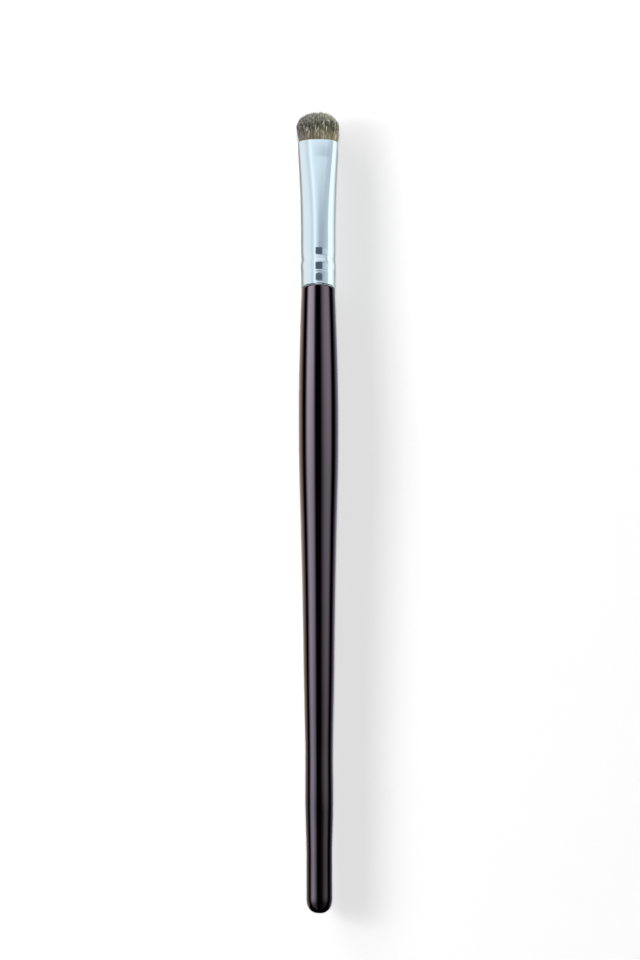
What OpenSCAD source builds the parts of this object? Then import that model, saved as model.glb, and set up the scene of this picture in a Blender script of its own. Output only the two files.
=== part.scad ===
// Eyeshadow brush, lying on its side with the hair towards +Y and the wide face up.
// The origin is on the surface that it lies on, below the middle of its length.
// Each piece is built upright, from the tail at height zero to the hair, and then laid down.

/* [Handle] */
// Length of the handle from its tail to the ferrule
handle_length = 133.6; // [115:0.1:155]
// Diameter of the straight tail
tail_d = 5.24; // [4.6:0.01:5.6]
// Length of the straight part of the tail
tail_straight = 8.4; // [5:0.1:12]
// Length of the rounded end of the tail
tail_round = 2.5; // [2:0.1:3.2]
// Diameter of the slim shank above the tail
shank_d = 5.72; // [5.3:0.01:6.4]
// Diameter of the belly, the thickest place
belly_d = 8.47; // [7.8:0.01:9.6]
// How far the handle stays below the ferrule's surface where they meet
skirt_step = 0.11; // [0.05:0.01:0.2]

/* [Tenon] */
// Length of the tenon inside the ferrule
tenon_length = 8.2; // [7.6:0.1:9]
// Thickness of the glue film round the tenon
glue_film = 0.14; // [0.08:0.01:0.25]
// Chamfer on the tenon's end
tenon_chamfer = 0.5; // [0.2:0.05:0.9]

/* [Ferrule] */
// Length of the ferrule
ferrule_length = 33.8; // [30:0.1:40]
// Diameter of the round barrel
barrel_d = 7.47; // [6.8:0.01:8.2]
// Thickness of the metal
metal_wall = 0.3; // [0.22:0.01:0.4]
// Length of the round barrel before the flattening starts
round_length = 12.2; // [11:0.1:13.5]
// Width of the mouth
mouth_w = 8.95; // [8.2:0.01:10]
// Thickness of the mouth
mouth_t = 6; // [5:0.1:7.2]
// Length of the pressed land at the mouth, where the faces run parallel
mouth_land = 4; // [2:0.1:6]
// How far each wide face still draws in over the land
land_nose = 0.14; // [0:0.01:0.25]
// Radius of the rounded lip
lip_round = 0.1; // [0.05:0.01:0.14]

/* [Crimps] */
// Distance from the skirt's edge to the middle of the lower crimp
crimp_from_edge = 3.4; // [2.8:0.05:3.8]
// Distance between the two crimps
crimp_pitch = 3.35; // [2.8:0.05:3.6]
// Depth of the upper crimp
crimp_depth = 0.11; // [0.05:0.01:0.2]
// Swell of the bead between the crimps
bead_swell = 0.08; // [0.04:0.01:0.16]
// Length of the skirt's edge that is rolled in
edge_turn = 0.25; // [0.15:0.05:0.5]
// How far that edge is rolled in
edge_dip = 0.1; // [0.05:0.01:0.14]

/* [Hair] */
// Height of the hair above the mouth
hair_out = 7.6; // [6:0.1:10]
// Width of the hair at its widest
hair_w = 9.52; // [9:0.01:11]
// Thickness of the hair at its thickest
hair_t = 6.7; // [6:0.1:8]
// Height above the mouth at which the outermost hairs end
hair_side = 3.7; // [2.5:0.1:5]
// Rows of strands from the middle to the rim
strand_rows = 8; // [7:1:9]
// How far inside the mouth the strands part
strand_depth = 0.5; // [0.3:0.05:1]
// Unevenness of the strands' ends
strand_scatter = 0.28; // [0:0.02:0.4]

/* [Binding] */
// Clear space between the band of thread and the ferrule
thread_room = 0.5; // [0.3:0.05:0.8]
// Length of the tied butt of the hair
butt_length = 4; // [3.5:0.1:4.5]
// Length of the slope from the tied butt to the full bundle
butt_slope = 3; // [2:0.1:4]
// Width of the band of thread
thread_band = 2; // [1.4:0.1:2.2]
// Thickness of the band of thread
thread_thick = 0.34; // [0.2:0.01:0.4]

/* [Resin] */
// Empty space between the tenon and the resin
air_space = 1; // [0.5:0.1:1.5]
// Thickness of the resin under the hair
resin_floor = 1.5; // [1:0.1:2]
// Height of the resin that has crept up round the hair
resin_creep = 1.2; // [0.6:0.1:1.4]

/* [Hidden] */
$fn = 96;

// Clearance between pieces that sit in each other
fit_gap = 0.04;
// Clearance between pieces that sit on each other, along the brush
seat_gap = 0.02;
// How far the loft of the ferrule reaches into its barrel, and how far it stays inside the wall there
weld_length = 0.4;
weld_inset = 0.03;
// Where the loft has reached its full section, past the barrel's end
weld_past = 0.1;

// Points round the ferrule's loft and along its curves
loft_sides = 64;
loft_rows = 10;
land_rows = 3;
arc_steps = 10;
curve_steps = 6;
ripple_steps = 6;

barrel_r = barrel_d / 2;
bore_r = barrel_r - metal_wall;
top_r = barrel_r - skirt_step;
tenon_r = bore_r - glue_film - 2 * fit_gap;
belly_r = belly_d / 2;
tail_r = tail_d / 2;
shank_r = shank_d / 2;
butt_r = bore_r - thread_room - thread_thick - fit_gap;
total_length = handle_length + ferrule_length + hair_out;

// Heights above the tail at which the pieces meet
skirt_z = handle_length + seat_gap;
tenon_z = handle_length + tenon_length;
mouth_z = handle_length + ferrule_length;
resin_z = tenon_z + air_space;
butt_z = resin_z + resin_floor + seat_gap;
resin_top_z = resin_z + resin_floor + resin_creep;
thread_z = resin_top_z + seat_gap;
slope_z = butt_z + butt_length;
bundle_z = slope_z + butt_slope;
strand_z = mouth_z - strand_depth;

// The handle's outline: places as shares of a stretch, and the share of its gain or loss in radius there
shank_from_share = 0.165;
shank_to_share = 0.25;
belly_at_share = 0.793;
swell_shares = [[0.2, 0.21], [0.42, 0.395], [0.63, 0.64], [0.84, 0.94]];
fall_shares = [[0.3, 0.13], [0.56, 0.38], [0.8, 0.7]];

// The ripples of the crimped skirt: places as shares of the way to the lower crimp, or of the pitch
// above the upper one, and dips as shares of the crimp's depth
edge_roll_share = 0.4;
skirt_ripple_shares = [[0.22, 0.55], [0.78, 0.3], [1, 0.5]];
run_out_shares = [[0.52, 0.09], [1.03, 0]];

// The ferrule's width grows slowly at first, and its land draws in most at the lip
flare_power = 1.9;
nose_start_share = 0.4;
// Exponent of the oval: 2 is an ellipse, and more is squarer
round_power = 2;
mouth_power = 2.45;

// Thickness of a strand as a share of its cell, at the mouth and half way up
strand_lip_share = 0.9;
strand_mid_share = 0.8;
strand_mid_at_share = 0.55;
tip_wander_share = 0.25;
scatter_seed = 41;
// Fall of the dome to its rim: half is an ellipse, and more falls sooner
shoulder_power = 0.62;
sectors = 6;

// Soft ramps from 0 to 1
function limited(t) = min(1, max(0, t));
function smooth(t) = let (u = limited(t)) u * u * (3 - 2 * u);
function mix(a, b, t) = a + (b - a) * t;

// A smooth curve through stations of [height, radius]
function slope(p, i) = let (lo = max(0, i - 1), hi = min(len(p) - 1, i + 1))
    i == 0 ? 0 : (p[hi][1] - p[lo][1]) / (p[hi][0] - p[lo][0]);
function hermite(p, i, t) = let (h = p[i + 1][0] - p[i][0])
    (2 * t ^ 3 - 3 * t ^ 2 + 1) * p[i][1] + (t ^ 3 - 2 * t ^ 2 + t) * h * slope(p, i)
    + (3 * t ^ 2 - 2 * t ^ 3) * p[i + 1][1] + (t ^ 3 - t ^ 2) * h * slope(p, i + 1);
function curve(p, steps) = concat(
    [for (i = [0 : len(p) - 2]) for (k = [0 : steps - 1])
        [mix(p[i][0], p[i + 1][0], k / steps), hermite(p, i, k / steps)]],
    [p[len(p) - 1]]);

// Stations from the straight tail over the shank and the belly to the ferrule
shank_to = handle_length * shank_to_share;
belly_at = handle_length * belly_at_share;
handle_stations = concat(
    [[tail_round + tail_straight, tail_r],
     [handle_length * shank_from_share, shank_r],
     [shank_to, shank_r]],
    [for (s = swell_shares) [mix(shank_to, belly_at, s[0]), mix(shank_r, belly_r, s[1])]],
    [[belly_at, belly_r]],
    [for (s = fall_shares) [mix(belly_at, handle_length, s[0]), mix(belly_r, top_r, s[1])]],
    [[handle_length, top_r]]);

// How far the crimped metal stands off the plain barrel, at a height above the skirt's edge
upper_crimp = crimp_from_edge + crimp_pitch;
crimp_stations = concat(
    [[0, -edge_dip], [edge_turn, -crimp_depth * edge_roll_share]],
    [for (s = skirt_ripple_shares) [crimp_from_edge * s[0], -crimp_depth * s[1]]],
    [[crimp_from_edge + crimp_pitch / 2, bead_swell], [upper_crimp, -crimp_depth]],
    [for (s = run_out_shares) [upper_crimp + crimp_pitch * s[0], -crimp_depth * s[1]]]);
ripples = len(crimp_stations) - 1;
ripple_gains = [for (i = [1 : ripples]) crimp_stations[i][1] - crimp_stations[i - 1][1]];
function ripple_parts(f) = [for (i = [1 : ripples]) let (lo = crimp_stations[i - 1][0])
    smooth((f - lo) / (crimp_stations[i][0] - lo))];
function crimp_offset(f) = crimp_stations[0][1] + ripple_gains * ripple_parts(f);
crimp_heights = concat(
    [for (i = [1 : ripples]) for (k = [0 : ripple_steps - 1])
        mix(crimp_stations[i - 1][0], crimp_stations[i][0], k / ripple_steps)],
    [crimp_stations[ripples][0]]);

// The ferrule's half width, half thickness and oval at a height above the skirt's edge
crease = ferrule_length - mouth_land;
function press(f) = 1 - cos(90 * limited((f - round_length) / (crease - round_length)));
function nose(f) = let (u = limited((f - crease) / mouth_land)) u * mix(nose_start_share, 1, u * u);
function flare(f) = limited((f - round_length) / (ferrule_length - round_length)) ^ flare_power;
function half_w(f) = mix(barrel_r, mouth_w / 2, flare(f));
function half_t(f) = mix(barrel_r, mouth_t / 2 + land_nose, press(f)) - land_nose * nose(f);
function power(f) = mix(round_power, mouth_power, press(f));
function bent(v, n) = sign(v) * abs(v) ^ (2 / n);
function oval_point(a, w, t, n, z) = [w * bent(cos(a), n), t * bent(sin(a), n), z];
function oval(f, inset, sides) = let (w = half_w(f) - inset, t = half_t(f) - inset)
    [for (k = [0 : sides - 1]) oval_point(360 * k / sides, w, t, power(f), f)];

// Side faces of a stack of rings, and the two triangles of one of their squares
function square_faces(a, b, c, d) = [[a, b, c], [a, c, d]];
function stack_faces(rows, sides, start) = [for (r = [0 : rows - 2]) for (k = [0 : sides - 1])
    let (n = (k + 1) % sides, lo = start + r * sides, hi = lo + sides)
    each square_faces(lo + k, hi + k, hi + n, lo + n)];

module laid_down() {
    translate([0, -total_length / 2, belly_r]) rotate([-90, 0, 0]) children();
}

// Turned wood with a rounded tail, a slim shank, a belly and a tenon that the crimps press into
module handle() {
    tail = [for (k = [0 : arc_steps]) let (a = 90 * k / arc_steps)
        [tail_r * sin(a), tail_round * (1 - cos(a))]];
    body = [for (p = curve(handle_stations, curve_steps)) [p[1], p[0]]];
    tenon = [for (f = crimp_heights) if (f < tenon_length - tenon_chamfer)
        [tenon_r + crimp_offset(f), handle_length + f + (f > 0 ? seat_gap : 0)]];
    end_r = tenon_r + crimp_offset(tenon_length - tenon_chamfer);
    tenon_end = [[end_r, tenon_z - tenon_chamfer], [end_r - tenon_chamfer, tenon_z], [0, tenon_z]];
    color("#1a0e12") laid_down() rotate_extrude() polygon(concat(tail, body, tenon, tenon_end));
}

// The film of glue between the tenon and the ferrule
module tenon_glue() {
    film = [for (f = crimp_heights) if (f > edge_turn && f < tenon_length - tenon_chamfer) f];
    outside = [for (f = film) [bore_r - fit_gap + crimp_offset(f), skirt_z + f]];
    inside = [for (k = [len(film) - 1 : -1 : 0])
        [tenon_r + fit_gap + crimp_offset(film[k]), skirt_z + film[k]]];
    color("#d8c48a") laid_down() rotate_extrude() polygon(concat(outside, inside));
}

// The round barrel of the ferrule, with its rolled edge, two crimps and the bead between them
module ferrule_barrel() {
    heights = concat(crimp_heights, [round_length]);
    outside = [for (f = heights) [barrel_r + crimp_offset(f), f]];
    inside = [for (k = [len(heights) - 1 : -1 : 0]) [bore_r + crimp_offset(heights[k]), heights[k]]];
    rotate_extrude() polygon(concat(outside, inside));
}

// The pressed part of the ferrule, a thin wall that goes from the round barrel to the oval mouth
module ferrule_loft() {
    rows = concat([round_length - weld_length],
        [for (k = [0 : loft_rows - 1]) mix(round_length + weld_past, crease, k / (loft_rows - 1))],
        [for (k = [1 : land_rows]) mix(crease, ferrule_length - lip_round, k / land_rows)]);
    last_row = len(rows) - 1;
    outside = [for (k = [0 : last_row]) oval(rows[k], k == 0 ? weld_inset : 0, loft_sides)];
    lip = oval(ferrule_length, lip_round, loft_sides);
    lip_inside = oval(ferrule_length, metal_wall - lip_round, loft_sides);
    inside = [for (k = [last_row : -1 : 0])
        oval(rows[k], k == 0 ? metal_wall - weld_inset : metal_wall, loft_sides)];
    rings = concat(outside, [lip, lip_inside], inside);
    points = [for (ring = rings) each ring];
    last = (len(rings) - 1) * loft_sides;
    closing = [for (k = [0 : loft_sides - 1]) let (n = (k + 1) % loft_sides)
        each square_faces(last + k, k, n, last + n)];
    polyhedron(points, concat(stack_faces(len(rings), loft_sides, 0), closing));
}

// Drawn and plated tube, crimped on the handle and pressed flat at the mouth
module ferrule() {
    color("#c4d6e4") laid_down() translate([0, 0, skirt_z]) {
        ferrule_barrel();
        ferrule_loft();
    }
}

// Resin that sets the butt of the hair, with a low wall where it has crept up
module resin_plug() {
    plug_r = bore_r - fit_gap;
    color("#b98f3e") laid_down() difference() {
        translate([0, 0, resin_z]) cylinder(h = resin_floor + resin_creep, r = plug_r);
        translate([0, 0, resin_z + resin_floor]) cylinder(h = resin_creep + seat_gap, r = butt_r + fit_gap);
    }
}

// Band of thread that ties the butt of the hair
module binding_thread() {
    inner_r = butt_r + fit_gap;
    bulge = [for (k = [0 : arc_steps]) let (a = 180 * k / arc_steps)
        [inner_r + thread_thick * (1 + sin(a)) / 2, thread_z + thread_band * (1 - cos(a)) / 2]];
    color("#e8e2d2") laid_down() rotate_extrude()
        polygon(concat([[inner_r, thread_z]], bulge, [[inner_r, thread_z + thread_band]]));
}

// Numbering of the cells: row k has 6 k corners, and between two rows lie triangles
function corner(row, j) = row == 0 ? 0 : 1 + 3 * row * (row - 1) + j % (sectors * row);
corner_count = 1 + 3 * strand_rows * (strand_rows + 1);
rim_count = sectors * strand_rows;
function cells_out(row) = [for (q = [0 : sectors - 1]) for (j = [0 : row - 1])
    [corner(row, q * row + j), corner(row, q * row + j + 1), corner(row - 1, q * (row - 1) + j)]];
function cells_in(row) = row < 2 ? [] : [for (q = [0 : sectors - 1]) for (j = [0 : row - 2])
    let (a = q * (row - 1) + j)
    [corner(row - 1, a), corner(row, q * row + j + 1), corner(row - 1, a + 1)]];
cells = [for (row = [1 : strand_rows]) each concat(cells_out(row), cells_in(row))];

// Each corner as a place in a disc of radius 1
function disc_place(r, a) = [r * cos(a), r * sin(a)];
corners = concat([[0, 0]],
    [for (row = [1 : strand_rows]) for (j = [0 : sectors * row - 1])
        disc_place(row / strand_rows, 360 * j / (sectors * row))]);

// The bundle's half width and thickness in the mouth, taken where the tube is narrowest
root_w = half_w(strand_z - skirt_z) - metal_wall - fit_gap;
root_t = half_t(ferrule_length) - metal_wall - fit_gap;
// The middles of the outermost strands lie at this share of the rim
rim_share = 1 - 1 / (3 * strand_rows);
full_w = hair_w / 2 / rim_share;
full_t = hair_t / 2 / rim_share;
function spread(z) = smooth((z - mouth_z) / hair_side);
function dome(r) = let (rise = max(0, 1 - r * r) ^ shoulder_power)
    mouth_z + mix(hair_side, hair_out - strand_scatter / 2, rise);

// A place in the disc carried up to a height in the hair
function hair_point(d, z) = let (r = norm(d), a = r == 0 ? 0 : atan2(d[1], d[0]), u = spread(z))
    oval_point(a, r * mix(root_w, full_w, u), r * mix(root_t, full_t, u), mouth_power, z);

// The points of one strand: a ring of three at the lip, a ring of three higher up, and its tip
function middle(c) = (corners[c[0]] + corners[c[1]] + corners[c[2]]) / 3;
function strand(c, lift, side, way) = let (
    m = middle(c),
    wander = disc_place(side * tip_wander_share / strand_rows, way),
    lip_z = mouth_z + seat_gap,
    tip_z = dome(min(1, norm(m))) + lift,
    mid_z = mix(lip_z, tip_z, strand_mid_at_share),
    tip = m + wander)
    concat(
        [for (v = c) hair_point(mix(m, corners[v], strand_lip_share), lip_z)],
        [for (v = c) hair_point(mix(m, corners[v], strand_mid_share), mid_z)],
        [hair_point(tip, tip_z)]);
strand_points = 7;
function strand_faces(c, s) = [
    for (k = [0 : 2]) let (n = (k + 1) % 3) each concat(
        square_faces(c[k], s + k, s + n, c[n]),
        square_faces(s + k, s + 3 + k, s + 3 + n, s + n),
        [[s + 3 + k, s + 6, s + 3 + n]])];

// The bundle below the mouth, which fills the ferrule and narrows to its tied butt
function bundle_ring(z, w, t, n) =
    [for (k = [0 : rim_count - 1]) oval_point(360 * k / rim_count, w, t, n, z)];
bundle_rows = 6;
function bundle_height(k) = mix(strand_z, bundle_z, k / bundle_rows);
function bundle_side(z) = let (f = z - skirt_z, inset = metal_wall + fit_gap)
    bundle_ring(z, half_w(f) - inset, half_t(f) - inset, power(f));

// Strands of hair that part just inside the mouth and end in a dome
module hair_tuft() {
    lifts = rands(-strand_scatter / 2, strand_scatter / 2, len(cells), scatter_seed);
    sides = rands(0, 1, len(cells), scatter_seed + 1);
    ways = rands(0, 360, len(cells), scatter_seed + 2);
    top = [for (d = corners) hair_point(d, strand_z)];
    strands = [for (i = [0 : len(cells) - 1]) each strand(cells[i], lifts[i], sides[i], ways[i])];
    sleeve = concat(
        [for (k = [1 : bundle_rows]) each bundle_side(bundle_height(k))],
        bundle_ring(slope_z, butt_r, butt_r, round_power),
        bundle_ring(butt_z, butt_r, butt_r, round_power));
    strands_from = corner_count;
    sleeve_from = strands_from + len(strands);
    rim_from = corner_count - rim_count;
    sleeve_rings = bundle_rows + 2;
    rim_faces = [for (k = [0 : rim_count - 1]) let (n = (k + 1) % rim_count)
        each square_faces(sleeve_from + k, rim_from + k, rim_from + n, sleeve_from + n)];
    side_faces = [for (r = [0 : sleeve_rings - 2]) for (k = [0 : rim_count - 1])
        let (n = (k + 1) % rim_count, hi = sleeve_from + r * rim_count, lo = hi + rim_count)
        each square_faces(lo + k, hi + k, hi + n, lo + n)];
    last = sleeve_from + (sleeve_rings - 1) * rim_count;
    end_faces = [for (k = [1 : rim_count - 2]) [last, last + k, last + k + 1]];
    points = [for (p = concat(top, strands, sleeve)) p - [0, 0, mouth_z]];
    faces = concat(
        [for (i = [0 : len(cells) - 1]) each strand_faces(cells[i], strands_from + strand_points * i)],
        rim_faces, side_faces, end_faces);
    color("#6e675a") laid_down() translate([0, 0, mouth_z]) polyhedron(points, faces);
}

handle();
tenon_glue();
ferrule();
resin_plug();
binding_thread();
hair_tuft();
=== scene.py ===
"""Looks of an eyeshadow brush: lacquered handle, plated ferrule and a domed tuft of mixed hair.

Each piece is built upright, with the tail at height zero and the hair on top, and is then laid
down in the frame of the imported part: the hair towards +Y and the wide face of the mouth up.
All lengths are in metres.
"""

import logging
import math
import random
from dataclasses import dataclass
from enum import Enum
from typing import Sequence

import bmesh
import bpy
from mathutils import Matrix, Vector, noise


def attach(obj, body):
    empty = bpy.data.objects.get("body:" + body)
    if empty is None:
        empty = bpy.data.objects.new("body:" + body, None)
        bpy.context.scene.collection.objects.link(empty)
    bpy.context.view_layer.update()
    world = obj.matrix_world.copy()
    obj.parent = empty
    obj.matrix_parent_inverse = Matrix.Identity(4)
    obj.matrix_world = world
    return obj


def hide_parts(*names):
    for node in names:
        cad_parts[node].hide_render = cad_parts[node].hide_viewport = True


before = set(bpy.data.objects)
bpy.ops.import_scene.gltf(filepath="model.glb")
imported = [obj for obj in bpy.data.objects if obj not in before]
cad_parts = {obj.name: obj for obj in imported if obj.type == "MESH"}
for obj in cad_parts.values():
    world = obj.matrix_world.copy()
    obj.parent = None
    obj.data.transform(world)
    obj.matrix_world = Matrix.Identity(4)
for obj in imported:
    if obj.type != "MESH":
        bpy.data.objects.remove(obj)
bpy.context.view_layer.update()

log = logging.getLogger("brush")

Colour = tuple[float, float, float]
Outline = list[tuple[float, float]]
Stops = tuple[tuple[float, float], ...]

BLACK = (0.0, 0.0, 0.0)
WHITE = (1.0, 1.0, 1.0)
QUARTER_TURN = math.pi / 2
SAME_PLACE = 1e-7


class Slot(Enum):
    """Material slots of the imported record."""

    LACQUERED_WOOD = "lacquered_wood"
    PLATED_METAL = "plated_metal"
    THREAD = "thread"
    HAIR = "hair"


class Layer(Enum):
    """Layers of the tuft, from the middle to the rim."""

    INNER = "inner"
    OUTER = "outer"


# Small helpers.


def limited(value: float) -> float:
    """Returns the value held between 0 and 1."""
    return min(1.0, max(0.0, value))


def smooth(value: float) -> float:
    """Returns a soft ramp from 0 to 1."""
    u = limited(value)
    return u * u * (3 - 2 * u)


def mix(low: float, high: float, share: float) -> float:
    """Returns the value at a share of the way from low to high."""
    return low + (high - low) * share


def oval(width: float, thickness: float, power: float, angle: float) -> tuple[float, float]:
    """Finds a point on an oval.

    Args:
        width: Half width of the oval.
        thickness: Half thickness of the oval.
        power: 2 for an ellipse, and more for a squarer oval.
        angle: Angle round the oval.

    Returns:
        The point's x and y.
    """
    c, s = math.cos(angle), math.sin(angle)
    return (
        width * math.copysign(abs(c) ** (2 / power), c),
        thickness * math.copysign(abs(s) ** (2 / power), s),
    )


def spun(outline: Outline, steps: int, closed: bool = False) -> bmesh.types.BMesh:
    """Turns an outline round the brush's axis.

    Args:
        outline: Radius and height of each point.
        steps: Steps round the axis.
        closed: Whether the last point joins the first, as on a tube.

    Returns:
        The turned mesh, with its faces outwards.
    """
    bm = bmesh.new()
    verts = [bm.verts.new((radius, 0, height)) for radius, height in outline]
    ends = verts[1:] + (verts[:1] if closed else [])
    edges = [bm.edges.new(pair) for pair in zip(verts, ends)]
    bmesh.ops.spin(
        bm, geom=verts + edges, cent=(0, 0, 0), axis=(0, 0, 1), dvec=(0, 0, 0),
        angle=math.tau, steps=steps, use_merge=True, use_duplicate=False,
    )
    bmesh.ops.remove_doubles(bm, verts=bm.verts[:], dist=SAME_PLACE)
    bmesh.ops.recalc_face_normals(bm, faces=bm.faces[:])
    return bm


def soften(bm: bmesh.types.BMesh, sharp_above: float = 35.0) -> None:
    """Shades a mesh smooth, apart from its sharp edges.

    Args:
        bm: Mesh to shade.
        sharp_above: Angle in degrees from which an edge stays sharp.
    """
    for face in bm.faces:
        face.smooth = True
    for edge in bm.edges:
        if len(edge.link_faces) == 2 and edge.calc_face_angle() > math.radians(sharp_above):
            edge.smooth = False


@dataclass(frozen=True)
class Lie:
    """How the upright pieces are laid down in the frame."""

    total_length: float = 0.175
    belly_radius: float = 0.004235

    def matrix(self) -> Matrix:
        """Returns the transform from an upright piece to the frame."""
        move = Matrix.Translation((0, -self.total_length / 2, self.belly_radius))
        return move @ Matrix.Rotation(-QUARTER_TURN, 4, "X")

    def place(self, name: str, bm: bmesh.types.BMesh, *finishes: bpy.types.Material) -> bpy.types.Object:
        """Lays a mesh down and makes it an object of the scene.

        Args:
            name: Name of the object.
            bm: Upright mesh, which is freed.
            finishes: Materials in the order of the mesh's material numbers.

        Returns:
            The object, at the origin, with its place in its mesh.
        """
        bmesh.ops.transform(bm, matrix=self.matrix(), verts=bm.verts[:])
        mesh = bpy.data.meshes.new(name)
        bm.to_mesh(mesh)
        bm.free()
        for finish in finishes:
            mesh.materials.append(finish)
        piece = bpy.data.objects.new(name, mesh)
        bpy.context.scene.collection.objects.link(piece)
        return piece


LIE = Lie()


# Shader tools.


@dataclass(frozen=True)
class Relief:
    """Strength of a surface's small relief, and its depth in metres."""

    strength: float
    depth: float


class Nodes:
    """Adds and links the nodes of one node tree."""

    def __init__(self, tree: bpy.types.NodeTree) -> None:
        """Keeps the tree that the nodes go into."""
        self.tree = tree

    def add(self, kind: str, **values: object) -> bpy.types.Node:
        """Adds a node.

        Args:
            kind: Type name of the node.
            values: Properties of the node, and values or links of its inputs, with
                underscores for spaces in the names of the inputs.

        Returns:
            The new node.
        """
        node = self.tree.nodes.new(kind)
        for name, value in values.items():
            if hasattr(node, name):
                setattr(node, name, value)
                continue
            socket = node.inputs[int(name[1:])] if name[1:].isdigit() else node.inputs[name.replace("_", " ")]
            if isinstance(value, bpy.types.NodeSocket):
                self.tree.links.new(value, socket)
            else:
                socket.default_value = value
        return node

    def place(self) -> bpy.types.NodeSocket:
        """Returns the object coordinates of the piece."""
        return self.add("ShaderNodeTexCoord").outputs["Object"]

    def ramp(self, factor: bpy.types.NodeSocket, *stops: tuple[float, Colour]) -> bpy.types.NodeSocket:
        """Adds a colour ramp.

        Args:
            factor: What drives the ramp.
            stops: Place and colour of each stop.

        Returns:
            The ramp's colour output.
        """
        node = self.add("ShaderNodeValToRGB", Fac=factor)
        elements = node.color_ramp.elements
        elements.remove(elements[1])
        elements[0].position = stops[0][0]
        elements[0].color = (*stops[0][1], 1)
        for place, colour in stops[1:]:
            elements.new(place).color = (*colour, 1)
        return node.outputs["Color"]

    def scaled(self, vector: bpy.types.NodeSocket, scale: Sequence[float]) -> bpy.types.NodeSocket:
        """Returns a vector stretched by a scale along each axis."""
        return self.add("ShaderNodeMapping", Vector=vector, Scale=scale).outputs["Vector"]

    def blend(self, factor: object, first: object, second: object) -> bpy.types.NodeSocket:
        """Mixes two colours.

        Args:
            factor: Share of the second colour, a number or a link.
            first: First colour, a constant or a link.
            second: Second colour, a constant or a link.

        Returns:
            The mix.
        """
        node = self.add("ShaderNodeMix", data_type="RGBA")
        for index, value in ((0, factor), (6, first), (7, second)):
            if isinstance(value, bpy.types.NodeSocket):
                self.tree.links.new(value, node.inputs[index])
            else:
                node.inputs[index].default_value = (*value, 1) if isinstance(value, tuple) else value
        return node.outputs[2]

    def span(self, value: bpy.types.NodeSocket, low: float, high: float) -> bpy.types.NodeSocket:
        """Returns a 0 to 1 value carried to the span from low to high."""
        return self.add("ShaderNodeMapRange", Value=value, To_Min=low, To_Max=high).outputs["Result"]

    def bump(self, height: bpy.types.NodeSocket, relief: Relief) -> bpy.types.NodeSocket:
        """Adds small relief.

        Args:
            height: Height of the relief, from 0 to 1.
            relief: Its strength and depth.

        Returns:
            The surface's normal.
        """
        return self.add(
            "ShaderNodeBump", Height=height, Strength=relief.strength, Distance=relief.depth
        ).outputs["Normal"]


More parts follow.
